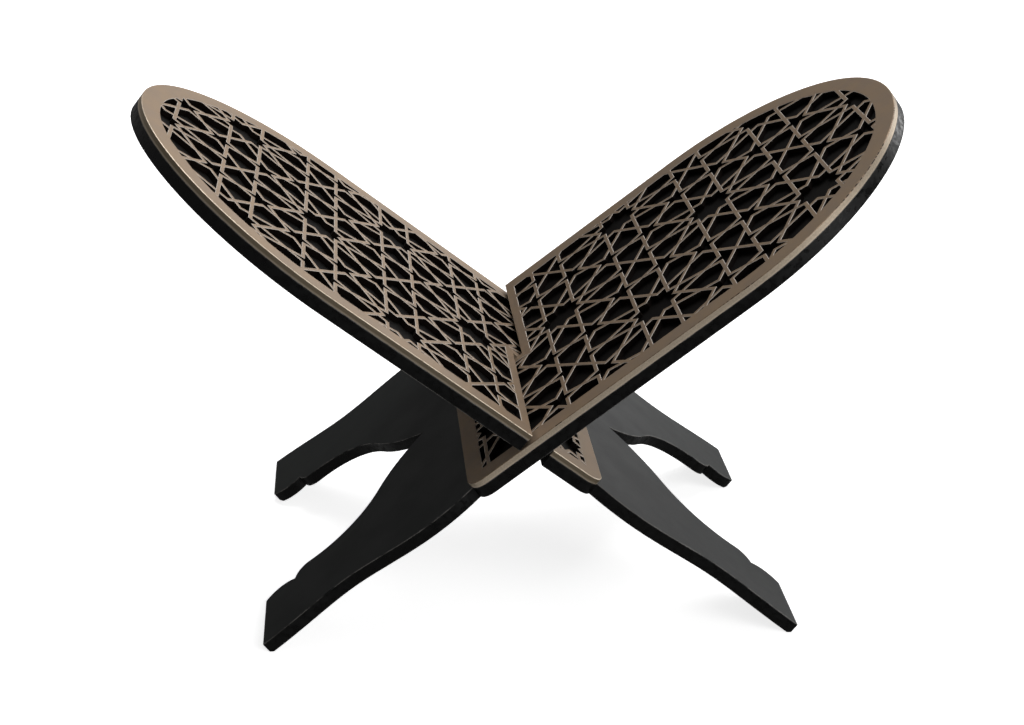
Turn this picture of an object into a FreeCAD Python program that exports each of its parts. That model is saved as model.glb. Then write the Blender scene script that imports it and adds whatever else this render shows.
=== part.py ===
import FreeCAD, Part
import Sketcher
from math import atan2, cos, degrees, pi, radians, sin, sqrt, tan
import os

# Quran stand (rehal): two identical flat boards that cross in an X and lock
# together with half-width slots.  Each board is a painted base board with two
# legs, and a thin lattice sheet glued on its upper face, flush with its edge.
#
# Frame: millimetres, +Z up, Y along the crossing line, origin on the floor
# under the middle of the stand.
# Board drawing: x runs up the board from the crossing line, y along the
# crossing line, z out of the upper face; z = 0 is halfway through base and
# sheet together.  The slot is in the y > 0 half.

FreeCAD.newDocument("quran_stand")
doc = FreeCAD.ActiveDocument

# ---------------------------------------------------------------- dimensions
DIMENSIONS = [
    ("half_width", 100.0, "half the width of a board"),
    ("tip_reach", 229.0, "crossing line to the tip of the wing"),
    ("shoulder_reach", 118.8, "crossing line to where the round end begins"),
    ("foot_reach", 161.3, "crossing line to the foot's end"),
    ("sheet_reach", 36.2, "crossing line to the lattice sheet's lower edge"),
    ("corner_radius", 9.0, "lower corners of the lattice sheet"),
    ("base_thickness", 6.4, "painted base board"),
    ("sheet_thickness", 3.0, "lattice sheet"),
    ("lean", 52.3, "each wing's lean from upright, in degrees"),
    ("slot_clearance", 0.2, "play on each side of a slot"),
    ("slot_overlap", 0.3, "how far a slot runs past the middle of the board"),
    ("foot_ease", 1.0, "height taken off a foot's lower edge so it stands flat"),
    ("border", 10.3, "solid border of the lattice sheet along its edge"),
    ("lower_border", 9.2, "solid border along the sheet's lower edge"),
    ("slot_border", 5.2, "solid strip along the slot"),
    ("strand", 2.0, "width of the lattice strands"),
    ("star_spacing", 79.7, "distance between neighbouring ten-pointed stars"),
    ("star_x", 126.0, "one star's centre, up the board"),
    ("star_y", 10.4, "one star's centre, along the crossing line"),
    ("cutter_margin", 1.0, "how far cutting shapes stand clear of what they cut"),
]
sheet = doc.addObject("Spreadsheet::Sheet", "Dimensions")
sheet.set("A1", "dimension")
sheet.set("B1", "value")
sheet.set("C1", "meaning")
for row, (alias, value, meaning) in enumerate(DIMENSIONS, start=2):
    sheet.set("A%d" % row, alias)
    sheet.set("B%d" % row, str(value))
    sheet.set("C%d" % row, meaning)
    sheet.setAlias("B%d" % row, alias)

DERIVED = [
    ("total_thickness", "=base_thickness + sheet_thickness", "base and sheet together"),
    # a flat board of this thickness, crossing at twice the lean, needs this much room
    ("slot_width", "=total_thickness * (1 - cos(2 * lean * 1deg)) / sin(2 * lean * 1deg)"
                   " + 2 * slot_clearance", "width of a slot"),
    ("crossing_height", "=foot_reach * cos(lean * 1deg) + total_thickness / 2 * sin(lean * 1deg)"
                        " - foot_ease", "height of the crossing line above the floor"),
]
for row, (alias, formula, meaning) in enumerate(DERIVED, start=len(DIMENSIONS) + 2):
    sheet.set("A%d" % row, alias)
    sheet.set("B%d" % row, formula)
    sheet.set("C%d" % row, meaning)
    sheet.setAlias("B%d" % row, alias)
doc.recompute()


def dim(alias):
    """A dimension's value, read back from the sheet."""
    return float(sheet.get(alias))


W = dim("half_width")
SHOULDER = dim("shoulder_reach")
ROUND = dim("tip_reach") - SHOULDER          # length of the half-ellipse at the tip
FOOT = dim("foot_reach")
LOW = dim("sheet_reach")
T = dim("total_thickness")
LEAN = radians(dim("lean"))


# ------------------------------------------------------------ sketch helpers
def v(x, y):
    return FreeCAD.Vector(x, y, 0)


def half_ellipse(inset):
    """The wing's round end, drawn `inset` inside its edge, from -y to +y."""
    ellipse = Part.Ellipse(v(SHOULDER, 0), ROUND - inset, W - inset)
    return Part.ArcOfEllipse(ellipse, -pi / 2, pi / 2)


def line(a, b):
    return Part.LineSegment(v(*a), v(*b))


def closed(points):
    """A closed outline of straight lines through the points."""
    return [line(a, b) for a, b in zip(points, points[1:] + points[:1])]


def arc(a, b, c):
    """An arc from a to c through b."""
    return Part.Arc(v(*a), v(*b), v(*c))


def curve(points):
    """A smooth curve through the points."""
    spline = Part.BSplineCurve()
    spline.interpolate([v(*p) for p in points])
    return spline


def flip(point):
    return (point[0], -point[1])


def add_sketch(name, geometry, body, plane="XY_Plane", height=None):
    """A sketch on one of a body's own planes, raised off it by the formula `height`."""
    sketch = body.newObject("Sketcher::SketchObject", name)
    origin = [feature for feature in body.Origin.OriginFeatures if feature.Role == plane]
    sketch.AttachmentSupport = [(origin[0], "")]
    sketch.MapMode = "FlatFace"
    if height:
        sketch.setExpression("AttachmentOffset.Base.z", height)
    sketch.addGeometry(geometry, False)
    return sketch


def add_pad(body, sketch, name, length):
    pad = body.newObject("PartDesign::Pad", name)
    pad.Profile = sketch
    pad.setExpression("Length", length)
    return pad


def through_both_ways(pocket):
    pocket.Type = "ThroughAll"
    pocket.SideType = "Symmetric"


def add_slot(body, name):
    """The slot: a rectangle from just past the middle to beyond the +y edge."""
    half, end = dim("slot_width") / 2, W + dim("cutter_margin")
    start = -dim("slot_overlap")
    corners = [(-half, start), (half, start), (half, end), (-half, end)]
    sketch = add_sketch(name + "_outline", closed(corners), body)
    for i in range(4):
        sketch.addConstraint(Sketcher.Constraint("Coincident", i, 2, (i + 1) % 4, 1))
    sketch.addConstraint(Sketcher.Constraint("Horizontal", 0))
    sketch.addConstraint(Sketcher.Constraint("Vertical", 1))
    sketch.addConstraint(Sketcher.Constraint("Horizontal", 2))
    sketch.addConstraint(Sketcher.Constraint("Vertical", 3))
    width = sketch.addConstraint(Sketcher.Constraint("DistanceX", 0, 1, 0, 2, 2 * half))
    middle = sketch.addConstraint(Sketcher.Constraint("DistanceX", -1, 1, 0, 2, half))
    depth = sketch.addConstraint(Sketcher.Constraint("DistanceY", 0, 2, -1, 1, -start))
    sketch.addConstraint(Sketcher.Constraint("DistanceY", -1, 1, 1, 2, end))
    sketch.setExpression("Constraints[%d]" % width, "Dimensions.slot_width")
    sketch.setExpression("Constraints[%d]" % middle, "Dimensions.slot_width / 2")
    sketch.setExpression("Constraints[%d]" % depth, "Dimensions.slot_overlap")
    pocket = body.newObject("PartDesign::Pocket", name)
    pocket.Profile = sketch
    through_both_ways(pocket)


# ------------------------------------------------------------------ outlines
R = dim("corner_radius")
CORNER = v(R - LOW, W - R)                    # centre of a lower corner's rounding
NOTCH_ANGLE = radians(157)                    # where the leg leaves that rounding
NOTCH = (CORNER.x + R * cos(NOTCH_ANGLE), CORNER.y + R * sin(NOTCH_ANGLE))


def corner_arc(end_angle, side):
    """The rounding from the long side towards the lower edge, on one side."""
    mid = (pi / 2 + end_angle) / 2
    points = [(CORNER.x + R * cos(a), side * (CORNER.y + R * sin(a))) for a in (pi / 2, mid, end_angle)]
    return arc(*points)


# one leg, drawn on the y > 0 side: its outer edge, the foot, and the arch's inner edge
LEG_OUTSIDE = [NOTCH, (-47, 98), (-63, 99.8), (-88, 96.8), (-112, 93.6), (-136, 96.6), (-FOOT, 99.8)]
TOE, BUMP, NICK, HEEL = (-FOOT, 58.8), (-150, 54.6), (-143, 56.6), (-133, 49.4)
ARCH, BEND, APEX = (-110, 45.0), (-90, 27.6), (-59.5, 0.0)


def leg(side):
    """Edge of one leg from the lattice sheet's corner round to the arch's point."""
    def s(point):
        return point if side > 0 else flip(point)
    return [
        curve([s(p) for p in LEG_OUTSIDE]),
        line(s(LEG_OUTSIDE[-1]), s(TOE)),
        arc(s(TOE), s(BUMP), s(NICK)),
        arc(s(NICK), s((-139.6, 51.2)), s(HEEL)),
        arc(s(HEEL), s(ARCH), s(BEND)),
        arc(s(BEND), s((-75.5, 10.6)), s(APEX)),
    ]


def base_outline():
    """The whole board: round tip, straight sides, two legs."""
    edges = [half_ellipse(0)]
    for side in (1, -1):
        edges.append(line((SHOULDER, side * W), (CORNER.x, side * W)))
        edges.append(corner_arc(NOTCH_ANGLE, side))
        edges += leg(side)
    return edges


def sheet_outline():
    """The lattice sheet: round tip, straight sides, rounded lower corners."""
    edges = [half_ellipse(0), line((-LOW, CORNER.y), (-LOW, -CORNER.y))]
    for side in (1, -1):
        edges.append(line((SHOULDER, side * W), (CORNER.x, side * W)))
        edges.append(corner_arc(pi, side))
    return edges


def field_outline():
    """The area that carries the lattice: inside the borders, clear of the slot."""
    b, low = W - dim("border"), dim("lower_border") - LOW
    strip = dim("slot_width") / 2 + dim("slot_border")
    end = -dim("slot_overlap") - dim("slot_border")
    points = [(SHOULDER, b), (strip, b), (strip, end), (-strip, end), (-strip, b),
              (low, b), (low, -b), (SHOULDER, -b)]
    return [half_ellipse(dim("border"))] + [line(p, q) for p, q in zip(points, points[1:])]


# ------------------------------------------------- ten-pointed star pattern
# The strands follow straight lines at multiples of 36 degrees.  Ten-sided
# cells hold one star each and share the middles of their sides; a bow-tie
# cell fills what is left between four of them.  Sizes are for a distance of 1
# between neighbouring stars.
CELL_X, CELL_Y = cos(radians(54)), sin(radians(54))    # step from a star cell to a bow-tie cell
BAR = CELL_X - cos(radians(18)) / 2                    # upright strands stand this far off a cell's middle
STEP = BAR * tan(radians(18))
INNER, OUTER, MEET = (BAR / cos(radians(a)) for a in (36, 54, 72))   # crossings along one strand
KNEE, KNEE_ANGLE = sqrt(BAR ** 2 + (0.5 - STEP) ** 2), degrees(atan2(BAR, 0.5 - STEP))
POINT = 0.5 * tan(radians(18))                         # reach of a five-pointed star
GOLDEN = (sqrt(5) - 1) / 2


def polar(radius, angle, centre=(0, 0)):
    return (centre[0] + radius * cos(radians(angle)), centre[1] + radius * sin(radians(angle)))


def star_cell():
    """Openings of a ten-sided cell: the star, ten small kites, ten petals."""
    openings = [[polar(OUTER if k % 2 else INNER, 18 * k) for k in range(20)]]
    for a in range(0, 360, 36):
        openings.append([polar(OUTER, a - 18), polar(MEET, a), polar(OUTER, a + 18), polar(INNER, a)])
        b = a + 18
        openings.append([polar(OUTER, b), polar(MEET, b - 18), polar(KNEE, b - KNEE_ANGLE),
                         polar(0.5, b), polar(KNEE, b + KNEE_ANGLE), polar(MEET, b + 18)])
    return openings


def bow_tie_cell():
    """Openings of a bow-tie cell: two houses, two arrow heads, four five-pointed stars."""
    waist, top = sin(radians(18)) / 2, CELL_Y - 0.5
    openings = []
    for m in (1, -1):
        openings.append([(0, 0), (m * BAR, m * waist), (m * BAR, m * (top - STEP)), (0, m * top),
                         (-m * BAR, m * (top - STEP)), (-m * BAR, m * waist)])
        openings.append([(0, 0), (m * BAR, m * waist), (m * BAR, m * STEP), (m * 2 * BAR, 0),
                         (m * BAR, -m * STEP), (m * BAR, -m * waist)])
        for n in (1, -1):
            centre, reaches = (m * POINT, n * top), (POINT, POINT * GOLDEN ** 2)
            openings.append([polar(reaches[k % 2], 90 + 90 * m + 36 * k, centre) for k in range(10)])
    return openings


def shrunk(polygon, distance):
    """The polygon with every side moved inwards by `distance`."""
    n = len(polygon)
    area = sum(polygon[i][0] * polygon[(i + 1) % n][1] - polygon[(i + 1) % n][0] * polygon[i][1]
               for i in range(n))
    if area < 0:
        polygon = polygon[::-1]
    result = []
    for i in range(n):
        (ax, ay), (bx, by), (cx, cy) = polygon[i - 1], polygon[i], polygon[(i + 1) % n]
        d, e = atan2(by - ay, bx - ax), atan2(cy - by, cx - bx)
        nx, ny = -sin(d) - sin(e), cos(d) + cos(e)     # along the corner's bisector
        k = distance / (1 + cos(d - e))
        result.append((bx + nx * k, by + ny * k))
    return result


def in_field(point, margin):
    x, y = point
    b = W - dim("border") - margin
    if x < dim("lower_border") - LOW + margin:
        return False
    if abs(x) < dim("slot_width") / 2 + dim("slot_border") + margin \
            and y > -dim("slot_overlap") - dim("slot_border") - margin:
        return False
    return (max(x - SHOULDER, 0) / (ROUND + b - W)) ** 2 + (y / b) ** 2 < 1


def lattice_openings():
    """Every opening of the pattern that reaches into the lattice's area."""
    pitch, half = dim("star_spacing"), dim("strand") / 2
    result = []
    for i in range(-4, 3):
        for j in range(-2, 3):
            cell = bow_tie_cell() if (i + j) % 2 else star_cell()
            cx, cy = dim("star_x") + i * CELL_X * pitch, dim("star_y") + j * CELL_Y * pitch
            for opening in cell:
                polygon = shrunk([(cx + x * pitch, cy + y * pitch) for x, y in opening], half)
                if any(in_field(p, 1.0) for p in polygon):
                    result.append(polygon)
    return result


# --------------------------------------------------------------- the boards
def foot_corner():
    """What comes off each foot's lower corner, seen along y, to make it level."""
    ease, low = dim("foot_ease"), -T / 2 - dim("cutter_margin")
    along, across = ease / cos(LEAN), ease / sin(LEAN)
    # the level line meets the board's underside and its end, and runs as far again past both
    start, stop = (-FOOT + 2 * along, -T / 2 - across), (-FOOT - along, -T / 2 + 2 * across)
    return [start, stop, (stop[0], low), (start[0], low)]


def make_base(name):
    """A base board: padded outline, slot, and feet eased where they stand."""
    body = doc.addObject("PartDesign::Body", name)
    underside = "-Dimensions.total_thickness / 2"
    outline = add_sketch(name + "_outline", base_outline(), body, height=underside)
    add_pad(body, outline, name + "_blank", "Dimensions.base_thickness")
    add_slot(body, name + "_slot")
    profile = add_sketch(name + "_foot_profile", closed(foot_corner()), body, plane="XZ_Plane")
    ease_cut = body.newObject("PartDesign::Pocket", name + "_foot_ease")
    ease_cut.Profile = profile
    through_both_ways(ease_cut)
    return body


def make_sheet(name):
    """A lattice sheet: blank with its slot, less the openings of the pattern."""
    blank = doc.addObject("PartDesign::Body", name + "_blank")
    glue_line = "Dimensions.base_thickness - Dimensions.total_thickness / 2"
    outline = add_sketch(name + "_outline", sheet_outline(), blank, height=glue_line)
    add_pad(blank, outline, name + "_pad", "Dimensions.sheet_thickness")
    add_slot(blank, name + "_slot")

    cutters = []
    for part, edges in (("field", field_outline()), ("pattern", pattern_lines())):
        sketch = doc.addObject("Sketcher::SketchObject", name + "_" + part)
        sketch.addGeometry(edges, False)
        sketch.setExpression("Placement.Base.z", glue_line + " - Dimensions.cutter_margin")
        cutter = doc.addObject("Part::Extrusion", name + "_" + part + "_cutter")
        cutter.Base = sketch
        cutter.DirMode = "Custom"
        cutter.Dir = FreeCAD.Vector(0, 0, 1)
        cutter.Solid = True
        cutter.setExpression("LengthFwd", "Dimensions.sheet_thickness + 2 * Dimensions.cutter_margin")
        cutters.append(cutter)
    openings = doc.addObject("Part::Common", name + "_openings")
    openings.Base, openings.Tool = cutters
    lattice = doc.addObject("Part::Cut", name)
    lattice.Base, lattice.Tool = blank, openings
    return lattice


def pattern_lines():
    """Every side of every opening, for one sketch."""
    lines = []
    for polygon in lattice_openings():
        lines += closed(polygon)
    return lines


# The right-hand wing's board leans to +x with its slot towards +y; the other
# one is the same board turned half round the stand's middle.
UPRIGHT_TO_LEAN = FreeCAD.Rotation(FreeCAD.Vector(0, 1, 0), dim("lean") - 90)
HALF_TURN = FreeCAD.Rotation(FreeCAD.Vector(0, 0, 1), 180)
NODES = []
for side, rotation in (("right", UPRIGHT_TO_LEAN), ("left", HALF_TURN.multiply(UPRIGHT_TO_LEAN))):
    for maker, piece in ((make_base, "board"), (make_sheet, "lattice")):
        node = maker("%s_wing_%s" % (side, piece))
        node.Label = "%s_wing_%s" % (side, piece)
        node.Placement = FreeCAD.Placement(FreeCAD.Vector(0, 0, dim("crossing_height")), rotation)
        node.setExpression("Placement.Base.z", "Dimensions.crossing_height")
        NODES.append(node)
doc.recompute()

# -------------------------------------------------------------------- export
for obj in doc.Objects:
    if "Invalid" in obj.State or "Error" in obj.State:
        raise RuntimeError("%s did not compute: %s" % (obj.Name, obj.State))
for node in NODES:
    shape = node.Shape
    if shape.isNull() or not shape.isValid():
        raise RuntimeError("%s has no valid shape" % node.Label)
os.makedirs("parts", exist_ok=True)
for node in NODES:
    node.Shape.exportStep("parts/%s.step" % node.Label)
    box = node.Shape.optimalBoundingBox(False)
    print("%s: %d solid(s), %d faces, %.0f mm3, x %.1f..%.1f y %.1f..%.1f z %.2f..%.1f" % (
        node.Label, len(node.Shape.Solids), len(node.Shape.Faces), node.Shape.Volume,
        box.XMin, box.XMax, box.YMin, box.YMax, box.ZMin, box.ZMax))
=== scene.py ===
# %% [markdown]
# # A book stand with two lattice wings
#
# The stand is two flat fibreboard boards that cross in an X and lock
# together with half-width slots, so it slides apart and stores flat. Each
# board is painted black, and a thin sheet, cut through in a lattice of
# ten-pointed stars and sprayed bronze, is glued on the upper face of its
# wing.
#
# The CAD model of the stand is the frame of this scene: it gives every size
# and place. Blender adds what CAD leaves out: softened edges, paint, light.

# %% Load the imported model
from math import atan2, cos, pi, radians, sin, sqrt, tan

import bmesh
import bpy
from mathutils import Matrix, Vector


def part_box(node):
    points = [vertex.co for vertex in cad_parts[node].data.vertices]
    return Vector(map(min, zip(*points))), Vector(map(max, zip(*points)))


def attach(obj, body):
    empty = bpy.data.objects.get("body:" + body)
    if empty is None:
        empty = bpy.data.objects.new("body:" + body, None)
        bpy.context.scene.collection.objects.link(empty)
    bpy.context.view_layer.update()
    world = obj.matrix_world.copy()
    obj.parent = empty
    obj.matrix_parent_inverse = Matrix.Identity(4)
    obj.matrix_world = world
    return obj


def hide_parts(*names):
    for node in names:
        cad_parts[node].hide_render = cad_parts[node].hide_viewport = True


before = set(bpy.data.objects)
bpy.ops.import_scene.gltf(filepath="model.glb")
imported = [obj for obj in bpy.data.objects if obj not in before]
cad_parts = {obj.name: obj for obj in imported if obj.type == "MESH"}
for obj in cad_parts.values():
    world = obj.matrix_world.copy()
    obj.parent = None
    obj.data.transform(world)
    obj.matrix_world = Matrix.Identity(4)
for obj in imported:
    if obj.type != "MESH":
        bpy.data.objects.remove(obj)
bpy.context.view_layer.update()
MM = 0.001

# %% [markdown]
# ## One drawing for both boards
#
# The two boards are the same board: one leans right, and the other is that
# one turned half round. They could be built in place, each at its own slant,
# but it is far easier to draw such a piece lying flat, with x up the board
# from the crossing line, y along the crossing line and z out of the upper
# face, and to stand it up at the end.
#
# The matrix that stands the board up is read from the CAD model, so nothing
# has to be typed twice. The largest flat of a board tells how it leans, and
# the middle of its thickness meets the middle of the stand at the crossing.

# %% Read how the boards lean and how thick they are
SIDES = ("right", "left")
FACING_UP = 0.1


def largest_flat(mesh):
    """The direction that most of a mesh's upward area faces."""
    sums = {}
    for face in mesh.polygons:
        if face.normal.z > FACING_UP:
            key = tuple(round(value, 2) for value in face.normal)
            sums[key] = sums.get(key, Vector()) + face.area * face.normal
    return max(sums.values(), key=lambda total: total.length).normalized()


def reach(node, direction):
    """How far a CAD node extends along a direction: lowest and highest."""
    along = [vertex.co.dot(direction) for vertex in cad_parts[node].data.vertices]
    return min(along), max(along)


OUT = largest_flat(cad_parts["right_wing_board"].data)
ACROSS = Vector((0, 1, 0))
UP = ACROSS.cross(OUT)
BOARD_LOW = reach("right_wing_board", OUT)[0]
SHEET_LOW, SHEET_HIGH = reach("right_wing_lattice", OUT)
SHEET_START, SHEET_STOP = reach("right_wing_lattice", UP)
CROSSING = Vector((0, 0, (BOARD_LOW + SHEET_HIGH) / 2 / OUT.z))
STAND_UP = Matrix.Translation(CROSSING) @ Matrix((UP, ACROSS, OUT)).transposed().to_4x4()
HALF_TURN = Matrix.Rotation(pi, 4, "Z")
TO_STAND = {"right": STAND_UP, "left": HALF_TURN @ STAND_UP}

MIDDLE = CROSSING.dot(OUT)
FACE = SHEET_HIGH - MIDDLE
GLUE_LINE = SHEET_LOW - MIDDLE
TIP = SHEET_STOP - CROSSING.dot(UP)
SHEET_END = SHEET_START - CROSSING.dot(UP)
HALF_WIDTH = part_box("right_wing_board")[1].y
LEAN = atan2(-OUT.x, OUT.z)
print("lean from level %.1f degrees, crossing %.1f mm up" % (LEAN * 180 / pi, CROSSING.z / MM))
print("board %.1f mm thick" % ((SHEET_LOW - BOARD_LOW) / MM))
print("sheet %.1f mm thick" % ((SHEET_HIGH - SHEET_LOW) / MM))

# %% [markdown]
# ## The camera
#
# The camera comes early, because every later step is judged through it. It
# looks down on the near edge of the stand from a little left of the middle,
# so both upper faces and the black edges below them show. It could be aimed
# with a constraint, but a place, a direction and a small roll say the same
# in three values that are easy to change.

# %% Place the camera
LENS = 63.38
SENSOR_WIDTH = 36
NEAREST = 0.05
CAMERA_PLACE = Vector((-0.08070, -0.84216, 0.45468))
CAMERA_LOOKS = Vector((0.08518, 0.91973, -0.38320))
CAMERA_ROLL = radians(0.646)

camera_data = bpy.data.cameras.new("camera")
camera_data.lens = LENS
camera_data.sensor_width = SENSOR_WIDTH
camera_data.clip_start = NEAREST
camera = bpy.data.objects.new("camera", camera_data)
bpy.context.scene.collection.objects.link(camera)
look = CAMERA_LOOKS.to_track_quat("-Z", "Y").to_matrix().to_4x4()
camera.matrix_world = Matrix.Translation(CAMERA_PLACE) @ look @ Matrix.Rotation(CAMERA_ROLL, 4, "Z")
bpy.context.scene.camera = camera
print("camera %.2f m from the crossing" % (CAMERA_PLACE - CROSSING).length)

# %% [markdown]
# ## The floor
#
# The stand is shown on a plain pale floor. A pale floor under lamps alone
# comes out grey, and brighter lamps would bleach the stand too. So the floor
# also glows a little, but only for rays that come straight from the camera:
# it looks almost white and still lights nothing, and the faint shadows of
# the feet stay. It is hidden from reflections as well, because the black
# paint would mirror it along the feet.

# %% Helpers for node trees
def add_node(tree, kind, inputs=None, **settings):
    """Adds a node, with its settings, and its inputs as values or as other nodes' outputs."""
    node = tree.nodes.new(kind)
    for key, value in settings.items():
        setattr(node, key, value)
    for key, value in (inputs or {}).items():
        if isinstance(value, bpy.types.NodeSocket):
            tree.links.new(value, node.inputs[key])
        else:
            node.inputs[key].default_value = value
    return node


def new_material(name, **fixed):
    """A node material with its Principled shader, and that shader's fixed values."""
    material = bpy.data.materials.new(name)
    material.use_nodes = True
    shader = material.node_tree.nodes["Principled BSDF"]
    for socket, value in fixed.items():
        shader.inputs[socket.replace("_", " ")].default_value = value
    return material, material.node_tree, shader


# %% Lay the floor
FLOOR_WIDTH = 12
FLOOR_GLOW = 0.8
FLOOR_GREY = (0.9, 0.9, 0.9, 1)
WHITE = (1, 1, 1, 1)

scene = bpy.context.scene
scene.view_settings.view_transform = "Standard"

floor_paint, floor_tree, floor_shader = new_material(
    "pale_floor", Roughness=0.9, Base_Color=FLOOR_GREY, Emission_Color=WHITE)
bpy.ops.mesh.primitive_plane_add(size=FLOOR_WIDTH)
floor = bpy.context.object
floor.name = "floor"
floor.data.materials.append(floor_paint)
floor.visible_glossy = False
to_camera = add_node(floor_tree, "ShaderNodeLightPath").outputs["Is Camera Ray"]
glow = add_node(floor_tree, "ShaderNodeMath", {0: to_camera, 1: FLOOR_GLOW}, operation="MULTIPLY")
floor_tree.links.new(glow.outputs[0], floor_shader.inputs["Emission Strength"])
print("floor %d m wide" % FLOOR_WIDTH)

# %% [markdown]
# ## The light
#
# Four large soft lamps light the stand: one from high up behind, two low
# ones behind on the right, and a fill from the right in front. The black
# paint mirrors whatever stands behind the stand, so the lamps behind on the
# right make the right-hand legs grey, while the left-hand legs mirror only
# the dim room. The fill lights the bronze rim and the near edges. The lamps
# stand far away for their size, so a flat face shows one even tone.
#
# The room itself is dim as a light and bright to the eye. One Light Path
# node tells the two apart, as on the floor.

# %% Hang the lamps
def add_lamp(name, place, size, watts):
    """A square soft lamp that faces the crossing of the boards."""
    light = bpy.data.lights.new(name, "AREA")
    light.shape = "SQUARE"
    light.size = size
    light.energy = watts
    lamp = bpy.data.objects.new(name, light)
    lamp.visible_camera = False
    lamp.location = place
    lamp.rotation_euler = (CROSSING - Vector(place)).to_track_quat("-Z", "Y").to_euler()
    scene.collection.objects.link(lamp)


add_lamp("skylight", place=(0.7, 2.0, 3.5), size=2.8, watts=124)
add_lamp("window", place=(3.3, 2.15, 0.75), size=2.0, watts=28)
add_lamp("doorway", place=(2.4, 5.6, 1.3), size=2.5, watts=20)
add_lamp("front_fill", place=(2.2, -2.6, 1.9), size=2.5, watts=54)

# %% Light the room
ROOM_AS_LIGHT = 0.11
ROOM_TO_THE_EYE = 0.97

world = bpy.data.worlds.new("room")
world.use_nodes = True
room = world.node_tree.nodes["Background"]
room.inputs["Color"].default_value = WHITE
seen = add_node(world.node_tree, "ShaderNodeLightPath").outputs["Is Camera Ray"]
strength = add_node(world.node_tree, "ShaderNodeMapRange",
                    {"Value": seen, "To Min": ROOM_AS_LIGHT, "To Max": ROOM_TO_THE_EYE})
world.node_tree.links.new(strength.outputs["Result"], room.inputs["Strength"])
scene.world = world
print("the room lights at %.2f and shows at %.2f" % (ROOM_AS_LIGHT, ROOM_TO_THE_EYE))

# %% [markdown]
# ## The two boards
#
# The boards' shape is right as it comes from CAD, but its corners are
# perfectly sharp, and no real painted board has such corners: sanding and
# paint round them, and the rounding catches the light as a thin bright line.
# The boards could be drawn again here, but a softened copy is exact. The
# copy's loose triangles are merged first and its flat faces dissolved into
# single ones, so that the bevel runs cleanly round them.
#
# A finished piece also carries notes for its paint. `drawing` is each
# point's place in the flat drawing, so the same paint fits both boards
# whichever way they lean, and `wall` and `arris` mark the faces that stand
# up from the board and the narrow ones between.
#
# Curved walls are shaded smooth. The broad faces, the narrow ones and the
# long straight walls are not: shading that is blended over a long wall
# shows as a false gradient.

# %% Helpers that soften edges and stand pieces up
SHARP_CORNER = radians(35)
CREASE = radians(30)
BELOW_ALL = -1.0
UPRIGHT, LEVEL = 0.15, 0.97
LONG_WALL = 20 * MM


def soften_edges(bm, width, above=BELOW_ALL):
    """Rounds every sharp edge above a height with two narrow faces."""
    bm.normal_update()
    sharp = [edge for edge in bm.edges if edge.is_manifold and edge.calc_face_angle() > SHARP_CORNER
             and min(vertex.co.z for vertex in edge.verts) > above]
    bmesh.ops.bevel(bm, geom=sharp, offset=width, offset_type="OFFSET", segments=2, profile=0.5,
                    affect="EDGES", clamp_overlap=True)


def note_faces(mesh, name, lowest, highest):
    """Marks the faces whose tilt from upright is in a range, 0 being upright and 1 level."""
    marks = [float(lowest <= abs(face.normal.z) < highest) for face in mesh.polygons]
    mesh.attributes.new(name, "FLOAT", "FACE").data.foreach_set("value", marks)


def is_short_wall(face):
    """Whether a face stands upright and is narrow, as the steps of a curved wall are."""
    return abs(face.normal.z) < UPRIGHT and face.area < LONG_WALL * FACE


def stood_up(name, mesh, side):
    """A finished piece on its body, from a mesh drawn lying flat."""
    mesh.name = name
    drawing = [value for vertex in mesh.vertices for value in vertex.co]
    mesh.attributes.new("drawing", "FLOAT_VECTOR", "POINT").data.foreach_set("vector", drawing)
    note_faces(mesh, "wall", 0, UPRIGHT)
    note_faces(mesh, "arris", UPRIGHT, LEVEL)
    smooth = [is_short_wall(face) for face in mesh.polygons]
    mesh.set_sharp_from_angle(angle=CREASE)
    mesh.polygons.foreach_set("use_smooth", smooth)
    mesh.transform(TO_STAND[side])
    piece = bpy.data.objects.new(name, mesh)
    scene.collection.objects.link(piece)
    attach(piece, side + "_board")
    print("%s: %d faces" % (name, len(mesh.polygons)))
    return piece


# %% [markdown]
# Under each sheet the board is given a darker black with next to no gloss,
# painted shade for the lattice's deep openings, while the rest of it has a
# soft gloss. This black runs up to a line under the sheet's border, where
# nothing shows its end. A blend between two paints would need a mask;
# cutting the board's mesh through along that line is simpler, because each
# face is then all one paint.

# %% Soften the two boards
BOARD_ARRIS = 0.45 * MM
# Where the darker black under the sheet ends: painted shade for the lattice's openings.
SHADED_BLACK_MARGIN = 9.0 * MM
SHADED_BLACK_END = SHEET_END + SHADED_BLACK_MARGIN
SAME_PLACE = 0.001 * MM
SLIVER = 0.002 * MM
NEARLY_FLAT = radians(0.3)


def softened_board(side):
    """A copy of a CAD board, lying flat, merged, softened and cut where the shaded black ends."""
    bm = bmesh.new()
    bm.from_mesh(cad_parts[side + "_wing_board"].data)
    bm.transform(TO_STAND[side].inverted())
    bmesh.ops.remove_doubles(bm, verts=bm.verts, dist=SAME_PLACE)
    bmesh.ops.dissolve_limit(bm, angle_limit=NEARLY_FLAT, verts=bm.verts, edges=bm.edges)
    soften_edges(bm, BOARD_ARRIS)
    everything = bm.verts[:] + bm.edges[:] + bm.faces[:]
    bmesh.ops.bisect_plane(bm, geom=everything, plane_co=(SHADED_BLACK_END, 0, 0), plane_no=(1, 0, 0))
    bmesh.ops.remove_doubles(bm, verts=bm.verts, dist=SLIVER)
    bmesh.ops.dissolve_degenerate(bm, dist=SLIVER, edges=bm.edges)
    mesh = bpy.data.meshes.new(side + "_board")
    bm.to_mesh(mesh)
    bm.free()
    return mesh


boards = {}
for side in SIDES:
    mesh = softened_board(side)
    covered = [float(face.normal.z > LEVEL and face.center.x > SHADED_BLACK_END) for face in mesh.polygons]
    mesh.attributes.new("under_sheet", "FLOAT", "FACE").data.foreach_set("value", covered)
    boards[side] = stood_up(side + "_board_painted", mesh, side)
    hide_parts(side + "_wing_board")

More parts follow.
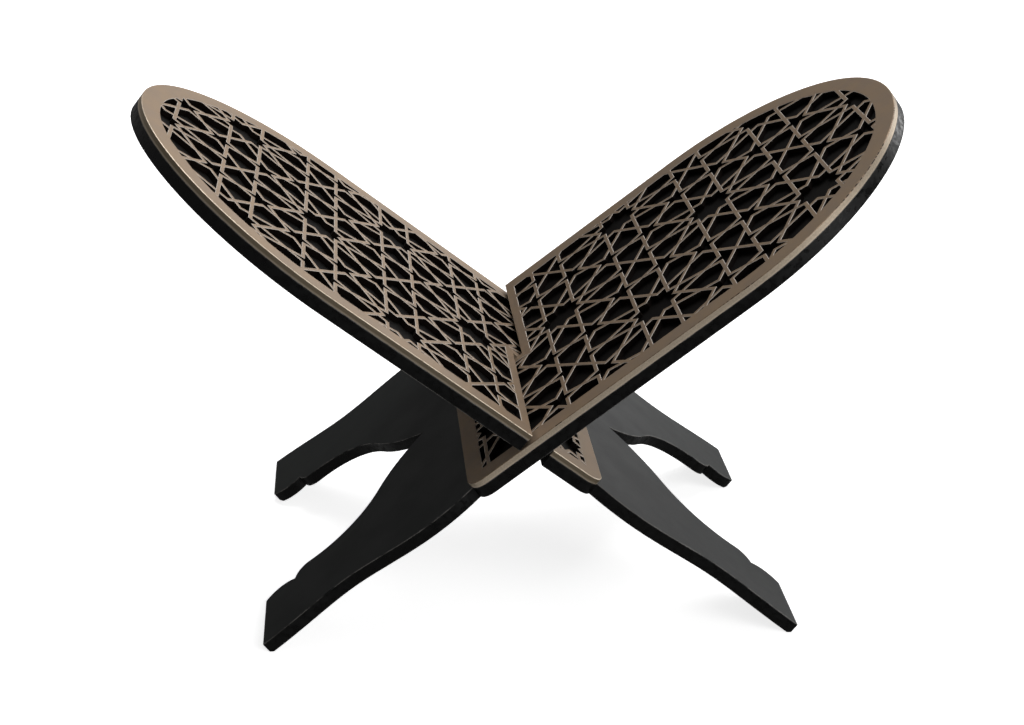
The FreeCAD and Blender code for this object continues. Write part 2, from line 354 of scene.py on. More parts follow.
# %% [markdown]
# ## The lattice sheets
#
# The lattice is cut from a thin sheet, so it is made the same way here: a
# blank sheet, less its openings. The openings follow a rule. Ten-sided cells
# that hold one star each stand in rows, half a step apart, and a bow-tie
# cell fills what is left between four of them. Drawing every opening by
# hand would be slow and never quite even, so only the openings of the two
# cells are drawn, and a Geometry Nodes tree repeats them, trims them to the
# part of the sheet inside its border, and cuts them out.
#
# The strands all run at multiples of a tenth of a turn. For stars one unit
# apart, every crossing comes from a few lengths: how far a strand stands
# from its cell's middle (BAR) and how far along it the next crossing is.

# %% Measure the pattern
TENTH = 36
HALF_TENTH = TENTH / 2
STAR_SPACING = 79.7 * MM
CELL_UP, CELL_ACROSS = cos(radians(3 * HALF_TENTH)), sin(radians(3 * HALF_TENTH))
BAR = CELL_UP - cos(radians(HALF_TENTH)) / 2
SHORT_STEP = BAR * tan(radians(HALF_TENTH))
INNER, OUTER, MEET = (BAR / cos(radians(turns * HALF_TENTH)) for turns in (2, 3, 4))
KNEE = sqrt(BAR ** 2 + (0.5 - SHORT_STEP) ** 2)
KNEE_ANGLE = atan2(BAR, 0.5 - SHORT_STEP) * 180 / pi
POINT = 0.5 * tan(radians(HALF_TENTH))
GOLDEN = (sqrt(5) - 1) / 2
print("strands stand %.1f mm from a star's middle" % (BAR * STAR_SPACING / MM))


# %% Draw the two cells of the pattern
def polar(radius, angle, centre=(0, 0)):
    """The point at a distance and an angle in degrees from a centre."""
    return (centre[0] + radius * cos(radians(angle)), centre[1] + radius * sin(radians(angle)))


def star_cell():
    """The star, the ten small kites and the ten petals round it."""
    openings = [[polar(OUTER if k % 2 else INNER, HALF_TENTH * k) for k in range(20)]]
    for k in range(10):
        a = TENTH * k
        b = a + HALF_TENTH
        openings.append([polar(OUTER, a - HALF_TENTH), polar(MEET, a),
                         polar(OUTER, a + HALF_TENTH), polar(INNER, a)])
        openings.append([polar(OUTER, b), polar(MEET, b - HALF_TENTH), polar(KNEE, b - KNEE_ANGLE),
                         polar(0.5, b), polar(KNEE, b + KNEE_ANGLE), polar(MEET, b + HALF_TENTH)])
    return openings


def small_star(middle, first_angle):
    """A five-pointed star with its first point at an angle."""
    return [polar(POINT * (GOLDEN ** 2 if k % 2 else 1), first_angle + TENTH * k, middle) for k in range(10)]


def bow_tie_cell():
    """Two houses, two arrow heads and four five-pointed stars."""
    waist = sin(radians(HALF_TENTH)) / 2
    top = CELL_ACROSS - 0.5
    openings = []
    for m in (1, -1):
        openings.append([(0, 0), (m * BAR, m * waist), (m * BAR, m * (top - SHORT_STEP)), (0, m * top),
                         (-m * BAR, m * (top - SHORT_STEP)), (-m * BAR, m * waist)])
        openings.append([(0, 0), (m * BAR, m * waist), (m * BAR, m * SHORT_STEP), (m * 2 * BAR, 0),
                         (m * BAR, -m * SHORT_STEP), (m * BAR, -m * waist)])
        towards_middle = 180 if m > 0 else 0
        for n in (1, -1):
            openings.append(small_star((m * POINT, n * top), towards_middle))
    return openings


print("openings in a star cell %d, in a bow-tie cell %d" % (len(star_cell()), len(bow_tie_cell())))

# %% [markdown]
# ## Cutters with a flare
#
# The upper edges of the openings are not quite sharp. They could be bevelled
# after the cut, but a bevel would have to find its way round thousands of
# small corners. Instead each opening becomes a cutter, a prism that passes
# right through the sheet, and near the upper face its wall flares outwards
# by a fifth of a millimetre: cutting with it breaks the strands' edges at
# the same time.

# %% Make cutters from outlines
STRAND = 2.0 * MM
FLARE = 0.2 * MM
CLEAR = 0.1 * MM


def moved_in(outline, distance):
    """A closed outline with every side moved inwards by `distance`."""
    n = len(outline)
    area = sum(outline[i][0] * outline[(i + 1) % n][1] - outline[(i + 1) % n][0] * outline[i][1]
               for i in range(n))
    if area < 0:
        outline = outline[::-1]
    result = []
    for i in range(n):
        (ax, ay), (bx, by), (cx, cy) = outline[i - 1], outline[i], outline[(i + 1) % n]
        before, after = atan2(by - ay, bx - ax), atan2(cy - by, cx - bx)
        k = distance / (1 + cos(before - after))
        result.append((bx - (sin(before) + sin(after)) * k, by + (cos(before) + cos(after)) * k))
    return result


def add_prism(bm, outline, margin):
    """A flared cutter whose waist stands `margin` inside the outline."""
    levels = [(GLUE_LINE - CLEAR, margin), (FACE - FLARE, margin), (FACE + CLEAR, margin - FLARE - CLEAR)]
    rings = [[bm.verts.new((x, y, z)) for x, y in moved_in(outline, inset)] for z, inset in levels]
    bm.faces.new(rings[0][::-1])
    bm.faces.new(rings[-1])
    for lower, upper in zip(rings, rings[1:]):
        for i in range(len(lower)):
            j = (i + 1) % len(lower)
            bm.faces.new((lower[i], lower[j], upper[j], upper[i]))


def cutter_object(name, outlines, margin):
    """One object that holds the cutters of several outlines."""
    bm = bmesh.new()
    for outline in outlines:
        add_prism(bm, outline, margin)
    mesh = bpy.data.meshes.new(name)
    bm.to_mesh(mesh)
    bm.free()
    return bpy.data.objects.new(name, mesh)


def scaled(outlines, size):
    """Outlines drawn for stars one unit apart, at their real size."""
    return [[(x * size, y * size) for x, y in outline] for outline in outlines]


star_cutter = cutter_object("star_cutter", scaled(star_cell(), STAR_SPACING), STRAND / 2)
bow_tie_cutter = cutter_object("bow_tie_cutter", scaled(bow_tie_cell(), STAR_SPACING), STRAND / 2)
print("cutter faces:", len(star_cutter.data.polygons), len(bow_tie_cutter.data.polygons))

# %% [markdown]
# ## The blank and the field
#
# The blank sheet has straight sides, a half-elliptical tip and rounded lower
# corners, and the slot runs in from one side. The field, which is where
# the lattice may go, keeps a border inside that outline and a narrow strip
# beside the slot. Both could be curves, but an outline made of a few named
# lengths is easier to follow and to change. Only the slot is not drawn from
# a length: it has to fit the other board, so it is read from the CAD sheet.

# %% Draw the blank and the field
SHOULDER = 118.8 * MM
CORNER = 9.0 * MM
BORDER = 10.3 * MM
LOWER_BORDER = 9.2 * MM
SLOT_BORDER = 5.2 * MM
NEAR_THE_SLOT = 15.6 * MM
TOUCHING = 0.01 * MM
TIP_STEPS = 72
CORNER_STEPS = 8


def slot_size():
    """Half the slot's width and where it stops, read from the CAD sheet."""
    to_board = STAND_UP.inverted()
    points = [to_board @ vertex.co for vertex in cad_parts["right_wing_lattice"].data.vertices]
    walls = [p for p in points if p.y > HALF_WIDTH - TOUCHING and abs(p.x) < NEAR_THE_SLOT]
    half = min(abs(p.x) for p in walls)
    ends = [p.y for p in points if abs(abs(p.x) - half) < TOUCHING]
    return half, min(ends)


SLOT_HALF, SLOT_END = slot_size()


def tip_arc(inset):
    """The wing's round end, `inset` inside its edge, from -y to +y."""
    angles = [-pi / 2 + pi * k / TIP_STEPS for k in range(TIP_STEPS + 1)]
    return [(SHOULDER + (TIP - SHOULDER - inset) * cos(a), (HALF_WIDTH - inset) * sin(a)) for a in angles]


def corner_arc(side):
    """A lower corner's rounding, from the long side to the lower edge."""
    angles = [pi / 2 + pi / 2 * k / CORNER_STEPS for k in range(CORNER_STEPS + 1)]
    return [(SHEET_END + CORNER + CORNER * cos(a), side * (HALF_WIDTH - CORNER + CORNER * sin(a)))
            for a in angles]


def blank_outline():
    """The sheet's outline: the tip, the slot and the two lower corners."""
    slot = [(SLOT_HALF, HALF_WIDTH), (SLOT_HALF, SLOT_END), (-SLOT_HALF, SLOT_END), (-SLOT_HALF, HALF_WIDTH)]
    return tip_arc(0) + slot + corner_arc(1) + corner_arc(-1)[::-1]


def field_outline():
    """The outline of what the lattice may fill, inside the border and round the slot."""
    side, low = HALF_WIDTH - BORDER, SHEET_END + LOWER_BORDER
    strip, end = SLOT_HALF + SLOT_BORDER, SLOT_END - SLOT_BORDER
    return tip_arc(BORDER) + [(strip, side), (strip, end), (-strip, end), (-strip, side),
                              (low, side), (low, -side)]


field_cutter = cutter_object("field_cutter", [field_outline()], 0)
print("slot %.2f mm wide, ends %.2f mm past the middle" % (2 * SLOT_HALF / MM, -SLOT_END / MM))

# %% Make the blank sheet
SHEET_ARRIS = 0.3 * MM


def blank_sheet(name):
    """The uncut sheet, its upper outer edges softened; the glued side stays sharp."""
    bm = bmesh.new()
    bottom = [bm.verts.new((x, y, GLUE_LINE)) for x, y in blank_outline()]
    top = [bm.verts.new((x, y, FACE)) for x, y in blank_outline()]
    bm.faces.new(bottom[::-1])
    bm.faces.new(top)
    for i in range(len(top)):
        j = (i + 1) % len(top)
        bm.faces.new((bottom[i], bottom[j], top[j], top[i]))
    soften_edges(bm, SHEET_ARRIS, above=GLUE_LINE)
    mesh = bpy.data.meshes.new(name)
    bm.to_mesh(mesh)
    bm.free()
    blank = bpy.data.objects.new(name, mesh)
    scene.collection.objects.link(blank)
    return blank


print("the blank's outline has %d points" % len(blank_outline()))

# %% [markdown]
# ## The node tree that cuts the lattice
#
# The tree lays a grid of points over the sheet. A grid's points are numbered
# row after row, and with an odd number in each row even and odd numbers
# alternate like the squares of a chessboard: even points carry a star cell,
# odd points a bow-tie cell. A Python loop could place the cells as well, but
# a tree can be opened and changed in Blender, and everything that a maker
# might change is a named input of it.

# %% Name the lattice tree's inputs
TREE_INPUTS = {
    "Star cell": "NodeSocketObject", "Bow-tie cell": "NodeSocketObject", "Field": "NodeSocketObject",
    "Cells up": "NodeSocketInt", "Cells across": "NodeSocketInt", "Step up": "NodeSocketFloat",
    "Step across": "NodeSocketFloat", "Middle": "NodeSocketVector", "Finish": "NodeSocketMaterial"}

lattice_tree = bpy.data.node_groups.new("cut_lattice", "GeometryNodeTree")
lattice_tree.interface.new_socket("Geometry", in_out="INPUT", socket_type="NodeSocketGeometry")
lattice_tree.interface.new_socket("Geometry", in_out="OUTPUT", socket_type="NodeSocketGeometry")
for name, kind in TREE_INPUTS.items():
    lattice_tree.interface.new_socket(name, in_out="INPUT", socket_type=kind)
print("the tree's named inputs:", ", ".join(TREE_INPUTS))


# %% Repeat the cells
def row_length(tree, count, step):
    """Wires (count - 1) * step, the length of a row of points."""
    less = add_node(tree, "ShaderNodeMath", {0: count, 1: 1}, operation="SUBTRACT").outputs[0]
    return add_node(tree, "ShaderNodeMath", {0: less, 1: step}, operation="MULTIPLY").outputs[0]


def cells_on_points(tree, points, cell, chosen):
    """Wires one kind of cell onto the chosen points."""
    info = add_node(tree, "GeometryNodeObjectInfo", {"Object": cell}, transform_space="ORIGINAL")
    place = add_node(tree, "GeometryNodeInstanceOnPoints",
                     {"Points": points, "Selection": chosen, "Instance": info.outputs["Geometry"]})
    return place.outputs["Instances"]


def repeated_cells(tree, given):
    """Wires the grid of points, with star cells on even points and bow-tie cells on odd ones."""
    grid = add_node(tree, "GeometryNodeMeshGrid", {
        "Vertices X": given["Cells up"], "Vertices Y": given["Cells across"],
        "Size X": row_length(tree, given["Cells up"], given["Step up"]),
        "Size Y": row_length(tree, given["Cells across"], given["Step across"])})
    shift = add_node(tree, "GeometryNodeTransform",
                     {"Geometry": grid.outputs["Mesh"], "Translation": given["Middle"]})
    points = shift.outputs["Geometry"]
    number = add_node(tree, "GeometryNodeInputIndex").outputs[0]
    odd = add_node(tree, "ShaderNodeMath", {0: number, 1: 2}, operation="MODULO").outputs[0]
    even = add_node(tree, "ShaderNodeMath", {0: 1, 1: odd}, operation="SUBTRACT").outputs[0]
    cells = add_node(tree, "GeometryNodeJoinGeometry")
    tree.links.new(cells_on_points(tree, points, given["Star cell"], even), cells.inputs[0])
    tree.links.new(cells_on_points(tree, points, given["Bow-tie cell"], odd), cells.inputs[0])
    return add_node(tree, "GeometryNodeRealizeInstances", {0: cells.outputs[0]}).outputs[0]


# %% Trim the cells and cut them out
def cut_out(tree, given, cells):
    """Wires the trimming to the field, the cut and the finish, and notes the walls it leaves."""
    field = add_node(tree, "GeometryNodeObjectInfo", {"Object": given["Field"]}, transform_space="ORIGINAL")
    trim = add_node(tree, "GeometryNodeMeshBoolean", operation="INTERSECT", solver="MANIFOLD")
    tree.links.new(cells, trim.inputs["Mesh 2"])
    tree.links.new(field.outputs["Geometry"], trim.inputs["Mesh 2"])
    openings = add_node(tree, "GeometryNodeStoreNamedAttribute", data_type="FLOAT", domain="FACE")
    openings.inputs["Name"].default_value = "opening"
    openings.inputs["Value"].default_value = 1
    tree.links.new(trim.outputs["Mesh"], openings.inputs["Geometry"])
    cut = add_node(tree, "GeometryNodeMeshBoolean", {"Mesh 1": given["Geometry"]},
                   operation="DIFFERENCE", solver="MANIFOLD")
    tree.links.new(openings.outputs[0], cut.inputs["Mesh 2"])
    plain = add_node(tree, "GeometryNodeRealizeInstances", {0: cut.outputs["Mesh"]})
    finish = add_node(tree, "GeometryNodeSetMaterial",
                      {"Geometry": plain.outputs[0], "Material": given["Finish"]})
    return finish.outputs["Geometry"]


given = add_node(lattice_tree, "NodeGroupInput").outputs
cells = repeated_cells(lattice_tree, given)
add_node(lattice_tree, "NodeGroupOutput", {0: cut_out(lattice_tree, given, cells)})
print("lattice tree: %d nodes" % len(lattice_tree.nodes))

# %% [markdown]
# Both sheets come out of the same tree. A modifier could stay on each of
# them, but its result is turned into a plain mesh, once for each body, so
# that whoever opens the model elsewhere gets the lattice too. The sheets'
# bronze is named here, because the tree sets it, and is mixed later.

# %% Cut both sheets
CELLS_UP, CELLS_ACROSS = 7, 5
STAR_PLACE = Vector((126.0 * MM, 10.4 * MM, 0))
STEP_UP, STEP_ACROSS = CELL_UP * STAR_SPACING, CELL_ACROSS * STAR_SPACING
bronze, bronze_tree, bronze_shader = new_material("bronze_spray", Specular_IOR_Level=0.12)
LATTICE_VALUES = {
    "Star cell": star_cutter, "Bow-tie cell": bow_tie_cutter, "Field": field_cutter,
    "Cells up": CELLS_UP, "Cells across": CELLS_ACROSS, "Step up": STEP_UP, "Step across": STEP_ACROSS,
    "Middle": STAR_PLACE - Vector((STEP_UP, 0, 0)), "Finish": bronze}


def cut_sheet(name):
    """The plain mesh of one sheet, with its lattice cut."""
    blank = blank_sheet(name)
    cutting = blank.modifiers.new("cut_lattice", "NODES")
    cutting.node_group = lattice_tree
    for item in lattice_tree.interface.items_tree:
        if item.in_out == "INPUT" and item.name in LATTICE_VALUES:
            cutting[item.identifier] = LATTICE_VALUES[item.name]
    depsgraph = bpy.context.evaluated_depsgraph_get()
    mesh = bpy.data.meshes.new_from_object(blank.evaluated_get(depsgraph))
    bpy.data.objects.remove(blank)
    return mesh


for side in SIDES:
    stood_up(side + "_lattice_cut", cut_sheet(side + "_blank"), side)
    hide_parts(side + "_wing_lattice")

# %% [markdown]
# ## Effects that the paints share
#
# All the finishes look like paint sprayed over fibreboard, so they share the
# same things: a fine orange-peel skin, soft clouds where the coat is
# thicker, edges marked in patches for rubbed paint, chips and painted
# highlight lines, cut walls with faint fibre layers, and a few specks of
# dust. They could be painted as pictures, but noise needs no files and stays
# sharp at any distance. Each effect is a shader node group that is built
# once, reads the piece's `drawing` place and its marks, and is then placed in
# each paint with that paint's own sizes.
# Sizes are in metres on the real stand.

# %% Helpers for shader groups
def new_group(name, inputs, outputs):
    """An empty shader group with named number inputs and outputs."""
    group = bpy.data.node_groups.new(name, "ShaderNodeTree")
    for label, value in inputs.items():
        socket = group.interface.new_socket(label, in_out="INPUT", socket_type="NodeSocketFloat")
        socket.default_value = value
    for label in outputs:
        group.interface.new_socket(label, in_out="OUTPUT", socket_type="NodeSocketFloat")
    given = add_node(group, "NodeGroupInput").outputs
    result = add_node(group, "NodeGroupOutput").inputs
    return group, given, result


def note(tree, name, output="Fac"):
    """Reads one of the notes that a piece carries."""
    reader = add_node(tree, "ShaderNodeAttribute", attribute_type="GEOMETRY", attribute_name=name)
    return reader.outputs[output]


def maths(tree, operation, first, second=0.0):
    """The result of a sum on two values or outputs."""
    return add_node(tree, "ShaderNodeMath", {0: first, 1: second}, operation=operation).outputs[0]


def times(tree, first, second):
    """Two values or outputs multiplied."""
    return maths(tree, "MULTIPLY", first, second)


def ramp(tree, value, start, stop, low=0.0, high=1.0):
    """Maps a value from start..stop to low..high, softly and within those ends."""
    mapping = {"Value": value, "From Min": start, "From Max": stop, "To Min": low, "To Max": high}
    return add_node(tree, "ShaderNodeMapRange", mapping, interpolation_type="SMOOTHSTEP").outputs["Result"]


def speckle(tree, size, detail=2.0, place=None):
    """Noise whose blotches are about `size` across."""
    scale = maths(tree, "DIVIDE", 1.0, size)
    where = place or note(tree, "drawing", "Vector")
    noise = add_node(tree, "ShaderNodeTexNoise", {"Vector": where, "Scale": scale, "Detail": detail})
    return noise.outputs[0]


# %% Sprayed skin: orange peel, grit and clouds
PEEL_SHARE, GRIT_SHARE = 0.7, 0.3
SOFT_MASK = (0.3, 0.7)

skin_group, given, result = new_group(
    "sprayed_skin", {"Peel size": 1.5 * MM, "Grit size": 0.4 * MM, "Cloud size": 20 * MM},
    ["Height", "Grit", "Clouds"])
peel = speckle(skin_group, given["Peel size"])
grit = speckle(skin_group, given["Grit size"], detail=1.0)
clouds = speckle(skin_group, given["Cloud size"], detail=3.0)
height = maths(skin_group, "ADD", times(skin_group, peel, PEEL_SHARE), times(skin_group, grit, GRIT_SHARE))
skin_group.links.new(height, result["Height"])
skin_group.links.new(grit, result["Grit"])
skin_group.links.new(ramp(skin_group, clouds, *SOFT_MASK), result["Clouds"])
print("sprayed_skin: %d nodes" % len(skin_group.nodes))

# %% Edge wear and painted highlight: the arris, in patches
wear_highlight_group, given, result = new_group(
    "edge_wear_and_highlight", {"Patch size": 6 * MM, "Start": 0.4, "Stop": 0.6}, ["Rubbed"])
# Patches along the arris: rubbed paint and chips, and also painted highlight lines.
patches = speckle(wear_highlight_group, given["Patch size"], detail=4.0)
patches = ramp(wear_highlight_group, patches, given["Start"], given["Stop"])
wear_highlight_group.links.new(times(wear_highlight_group, patches, note(wear_highlight_group, "arris")), result["Rubbed"])
print("edge_wear_and_highlight: %d nodes" % len(wear_highlight_group.nodes))

# %% Cut walls: faint layers that run along the edge
layer_group, given, result = new_group(
    "cut_layers", {"Length": 20 * MM, "Thickness": 0.4 * MM}, ["Layers"])
flat_scale = maths(layer_group, "DIVIDE", 1.0, given["Length"])
deep_scale = maths(layer_group, "DIVIDE", 1.0, given["Thickness"])
scales = add_node(layer_group, "ShaderNodeCombineXYZ", {0: flat_scale, 1: flat_scale, 2: deep_scale})
stretched = add_node(layer_group, "ShaderNodeVectorMath",
                     {0: note(layer_group, "drawing", "Vector"), 1: scales.outputs[0]}, operation="MULTIPLY")
layers = speckle(layer_group, 1.0, detail=3.0, place=stretched.outputs[0])
layer_group.links.new(times(layer_group, layers, note(layer_group, "wall")), result["Layers"])
print("cut_layers: %d nodes" % len(layer_group.nodes))

# %% Dust: a few round specks
dust_group, given, result = new_group(
    "dust_specks", {"Spacing": 12 * MM, "Radius": 0.2 * MM}, ["Specks"])
dots = add_node(dust_group, "ShaderNodeTexVoronoi",
                {"Vector": note(dust_group, "drawing", "Vector"),
                 "Scale": maths(dust_group, "DIVIDE", 1.0, given["Spacing"])})
limit = maths(dust_group, "DIVIDE", given["Radius"], given["Spacing"])
dust_group.links.new(maths(dust_group, "LESS_THAN", dots.outputs["Distance"], limit), result["Specks"])
print("dust_specks: %d nodes" % len(dust_group.nodes))

# %% Helpers for paints
def use_group(tree, group, **values):
    """Places a shader group in a paint with the paint's own values."""
    node = add_node(tree, "ShaderNodeGroup")
    node.node_tree = group
    for label, value in values.items():
        node.inputs[label.replace("_", " ")].default_value = value
    return node.outputs


def blend_colours(tree, factor, first, second):
    """Goes from the first colour to the second as the factor goes from 0 to 1."""
    colours = {key: value if isinstance(value, bpy.types.NodeSocket) else (*value, 1)
               for key, value in ((6, first), (7, second))}
    return add_node(tree, "ShaderNodeMix", {0: factor, **colours}, data_type="RGBA").outputs[2]


def blend_values(tree, factor, first, second):
    """Goes from the first value to the second as the factor goes from 0 to 1."""
    return add_node(tree, "ShaderNodeMix", {0: factor, 2: first, 3: second}, data_type="FLOAT").outputs[0]


def finish_paint(tree, shader, colour, roughness, height, relief):
    """Wires a paint's colour, roughness and relief into its shader."""
    bump = add_node(tree, "ShaderNodeBump", {"Height": height, "Distance": relief})
    tree.links.new(colour, shader.inputs["Base Color"])
    tree.links.new(roughness, shader.inputs["Roughness"])
    tree.links.new(bump.outputs["Normal"], shader.inputs["Normal"])


# %% [markdown]
# ## Black satin paint
#
# The boards are fibreboard under satin black. One colour would do for a toy,
# but real paint is never even. The broad faces are smooth and reflect
# softly, a shade more where the coat is thin. The cut edges drink more
# paint, so they are blacker, glossy in blotches and dull between, and show
# faint layers. Along the arrises a thin grey line is painted in patches,
# partly worn paint and partly a painted highlight, and a few specks of dust
# lie on it.

# %% Mix the black paint
BLACK_FACE, BLACK_CLOUD = (0.0030, 0.0046, 0.0040), (0.0048, 0.0064, 0.0058)
# The rubbed colour is partly worn paint and partly a painted highlight on the arrises.
BLACK_WALL, BLACK_WEAR_AND_HIGHLIGHT = (0.0010, 0.0010, 0.0009), (0.17, 0.16, 0.15)
GREY_DUST = (0.12, 0.11, 0.10)
WEAR_AND_HIGHLIGHT_SHARE, DUST_SHARE = 0.7, 0.5
FACE_ROUGHNESS, WALL_ROUGHNESS = (0.36, 0.44), (0.24, 0.54)
BLOTCH_SIZE, BLOTCH_MASK = 3 * MM, (0.35, 0.65)
BLACK_LAYERS = 0.8
BLACK_RELIEF = 0.02 * MM

black, tree, shader = new_material("black_satin", Specular_IOR_Level=0.38)
skin = use_group(tree, skin_group, Peel_size=1.3 * MM, Grit_size=0.35 * MM, Cloud_size=28 * MM)
wear_and_highlight = use_group(tree, wear_highlight_group, Patch_size=7 * MM, Start=0.30, Stop=0.60)["Rubbed"]
layers = use_group(tree, layer_group, Length=25 * MM, Thickness=0.5 * MM)["Layers"]
specks = use_group(tree, dust_group, Spacing=14 * MM, Radius=0.22 * MM)["Specks"]
wall = note(tree, "wall")
colour = blend_colours(tree, skin["Clouds"], BLACK_FACE, BLACK_CLOUD)
colour = blend_colours(tree, wall, colour, BLACK_WALL)
# Painted highlight, partly worn paint: a thin grey line in patches along the arrises.
colour = blend_colours(tree, times(tree, wear_and_highlight, WEAR_AND_HIGHLIGHT_SHARE), colour, BLACK_WEAR_AND_HIGHLIGHT)
colour = blend_colours(tree, times(tree, specks, DUST_SHARE), colour, GREY_DUST)
blotches = ramp(tree, speckle(tree, BLOTCH_SIZE, detail=3.0), *BLOTCH_MASK)
rough = blend_values(tree, skin["Clouds"], *FACE_ROUGHNESS)
rough = blend_values(tree, wall, rough, blend_values(tree, blotches, *WALL_ROUGHNESS))
height = maths(tree, "ADD", skin["Height"], times(tree, layers, BLACK_LAYERS))
finish_paint(tree, shader, colour, rough, height, BLACK_RELIEF)
print("black satin: %d nodes" % len(tree.nodes))

# %% [markdown]
# ## Flat black under the sheets, a painted shade
#
# Seen through the lattice, the board is the deepest black on the stand,
# because the openings are deep and shaded. A darker satin would still mirror
# the lamps there and turn the openings grey, so this black is a paint of its
# own, darker than the satin and with next to no gloss: painted shade for
# the openings. Each board holds both paints, and the `under_sheet` mark tells
# which face gets which.

# %% Mix the flat black under the sheets
# Painted shade: a darker black for the board where it shows through the lattice's openings.
SHADED_BLACK, SHADED_BLACK_CLOUD = (0.0022, 0.0014, 0.0010), (0.0032, 0.0022, 0.0016)
SHADED_BLACK_ROUGHNESS = (0.55, 0.70)

shaded_black, tree, shader = new_material("flat_black", Specular_IOR_Level=0.08)
skin = use_group(tree, skin_group, Peel_size=1.3 * MM, Grit_size=0.35 * MM, Cloud_size=12 * MM)
colour = blend_colours(tree, skin["Clouds"], SHADED_BLACK, SHADED_BLACK_CLOUD)
rough = blend_values(tree, skin["Grit"], *SHADED_BLACK_ROUGHNESS)
finish_paint(tree, shader, colour, rough, skin["Height"], BLACK_RELIEF)
for side in SIDES:
    mesh = boards[side].data
    mesh.materials.clear()
    mesh.materials.append(black)
    mesh.materials.append(shaded_black)
    chosen = [int(mark.value) for mark in mesh.attributes["under_sheet"].data]
    mesh.polygons.foreach_set("material_index", chosen)
    print("%s board: %d faces in flat black" % (side, sum(chosen)))

# %% [markdown]
# ## Bronze spray
#
# The sheets have a champagne-bronze metal finish on the upper face and the
# outer rim, as spray gives. The walls of the openings are nearly black, as
# laser cutting leaves them, with only a dusting of bronze at the top, and
# the strands' broken edges are painted paler than their faces, as a painted
# highlight.
#
# The rim is not the same all round. On the slot side it is painted browner,
# as painted shade, with a bright line along its arris that is partly bare
# metal and partly a painted highlight. On the other side it is a mottled
# pale bronze, palest at its lower edge, with small chips in clusters along
# its arris. Two paints could do this, but the place across the board already
# tells the sides apart, so one paint serves both sheets.

# %% Choose the bronze colours
CHAMPAGNE, WARM_CLOUD = (0.38, 0.275, 0.185), (0.35, 0.262, 0.19)
RIM_BRONZE, RIM_MOTTLE = (0.62, 0.52, 0.40), (0.50, 0.41, 0.31)
# The shaded rim colour is painted shade, laid on the rim's slot side.
RIM_PALE, RIM_SHADED = (0.80, 0.68, 0.54), (0.20, 0.16, 0.11)
CHAR = (0.006, 0.003, 0.002)
# Painted highlights: a bright colour for the rim's arris, partly bare metal, and a pale one for the strands'
# edges.
BARE_METAL_AND_HIGHLIGHT, STRAND_EDGE_HIGHLIGHT = (0.88, 0.76, 0.60), (0.70, 0.63, 0.56)
# Painted shade: the rim turns darker towards the slot side of the board, between these two places across it.
SHADED_SIDE_START, SHADED_SIDE_STOP = -40 * MM, 60 * MM
LOW_EDGE_TOP, LOW_EDGE_BOTTOM = GLUE_LINE + 1.2 * MM, GLUE_LINE + 0.2 * MM
LOW_EDGE_SHARE = 0.35
OVERSPRAY_DEPTH, OVERSPRAY_SHARE = 0.7 * MM, 0.12
CLUSTER_SIZE, CLUSTER_MASK, CHIPS_BETWEEN_CLUSTERS = 22 * MM, (0.52, 0.60), 0.3
MOTTLE_SIZE = 0.8 * MM
BRONZE_ROUGHNESS, CHAR_ROUGHNESS = (0.38, 0.50), 0.75
FACE_METAL, RIM_METAL, CHAR_METAL = 0.55, 0.50, 0.0
BRONZE_LAYERS = 1.5
BRONZE_RELIEF = 0.025 * MM
print("bronze colours chosen, the rim browner from y = %d mm" % round(SHADED_SIDE_START / MM))

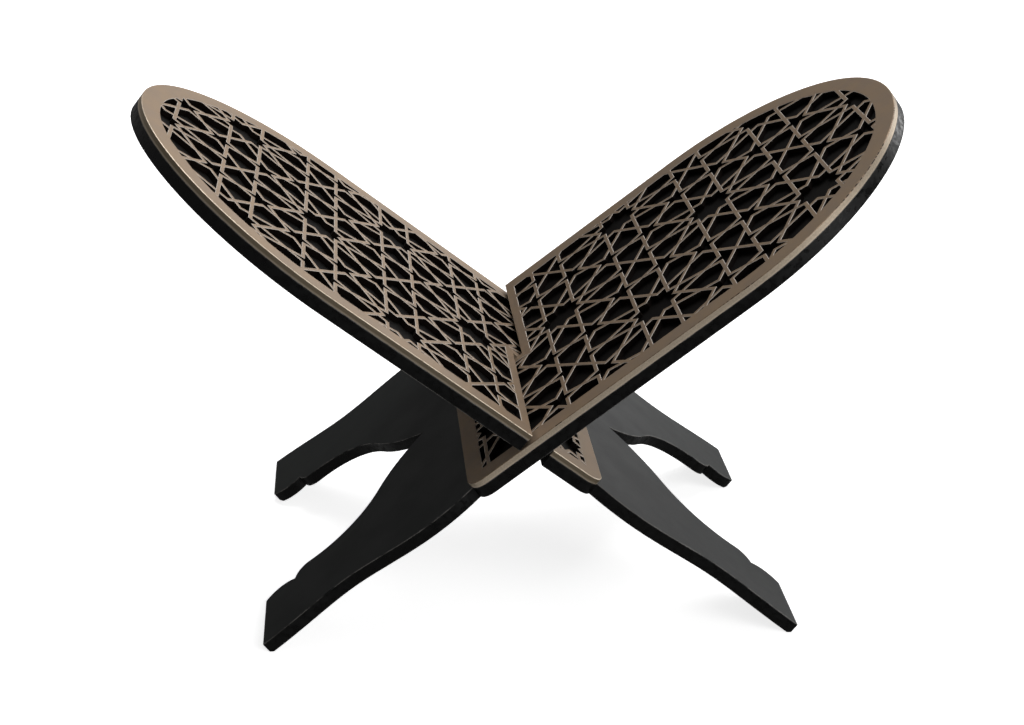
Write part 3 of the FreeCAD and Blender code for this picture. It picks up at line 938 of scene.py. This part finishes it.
# %% Place the bronze paint's effects
tree, shader = bronze_tree, bronze_shader
skin = use_group(tree, skin_group, Peel_size=0.9 * MM, Grit_size=0.3 * MM, Cloud_size=9 * MM)
wear_and_highlight = use_group(tree, wear_highlight_group, Patch_size=4 * MM, Start=0.25, Stop=0.5)["Rubbed"]
chipped = use_group(tree, wear_highlight_group, Patch_size=1.5 * MM, Start=0.46, Stop=0.52)["Rubbed"]
layers = use_group(tree, layer_group, Length=9 * MM, Thickness=0.5 * MM)["Layers"]
clusters = ramp(tree, speckle(tree, CLUSTER_SIZE), *CLUSTER_MASK, low=CHIPS_BETWEEN_CLUSTERS)
mottled = ramp(tree, speckle(tree, MOTTLE_SIZE, detail=3.0), *SOFT_MASK)
place = add_node(tree, "ShaderNodeSeparateXYZ", {0: note(tree, "drawing", "Vector")}).outputs
shaded_side = ramp(tree, place["Y"], SHADED_SIDE_START, SHADED_SIDE_STOP)
low_edge = ramp(tree, place["Z"], LOW_EDGE_TOP, LOW_EDGE_BOTTOM)
overspray = ramp(tree, place["Z"], FACE - OVERSPRAY_DEPTH, FACE)
wall, opening = note(tree, "wall"), note(tree, "opening")
opening_wall = times(tree, wall, opening)
# The strands' broken edges, where a painted highlight goes.
strand_edge_highlight = times(tree, note(tree, "arris"), opening)
print("effects placed: %d nodes" % len(tree.nodes))

# %% Mix the bronze paint
rim = blend_colours(tree, mottled, RIM_BRONZE, RIM_MOTTLE)
# Painted shade: the rim on the slot side is blended to a darker brown.
rim = blend_colours(tree, shaded_side, rim, RIM_SHADED)
rim = blend_colours(tree, times(tree, low_edge, LOW_EDGE_SHARE), rim, RIM_PALE)
char = blend_colours(tree, times(tree, overspray, OVERSPRAY_SHARE), CHAR, RIM_SHADED)
chipped = times(tree, chipped, maths(tree, "SUBTRACT", 1.0, shaded_side))
colour = blend_colours(tree, skin["Clouds"], CHAMPAGNE, WARM_CLOUD)
colour = blend_colours(tree, wall, colour, rim)
colour = blend_colours(tree, opening_wall, colour, char)
# Painted highlight, partly bare metal: a bright line in patches on the arris of the slot side.
colour = blend_colours(tree, times(tree, wear_and_highlight, shaded_side), colour, BARE_METAL_AND_HIGHLIGHT)
colour = blend_colours(tree, times(tree, chipped, clusters), colour, CHAR)
# Painted highlight: the strands' narrow broken edges are painted paler than their faces.
colour = blend_colours(tree, strand_edge_highlight, colour, STRAND_EDGE_HIGHLIGHT)
rough = blend_values(tree, skin["Grit"], *BRONZE_ROUGHNESS)
rough = blend_values(tree, opening, rough, CHAR_ROUGHNESS)
metal = blend_values(tree, wall, FACE_METAL, RIM_METAL)
metal = blend_values(tree, opening, metal, CHAR_METAL)
tree.links.new(metal, shader.inputs["Metallic"])
height = maths(tree, "ADD", skin["Height"], times(tree, layers, BRONZE_LAYERS))
finish_paint(tree, shader, colour, rough, height, BRONZE_RELIEF)
print("bronze spray: %d nodes" % len(tree.nodes))
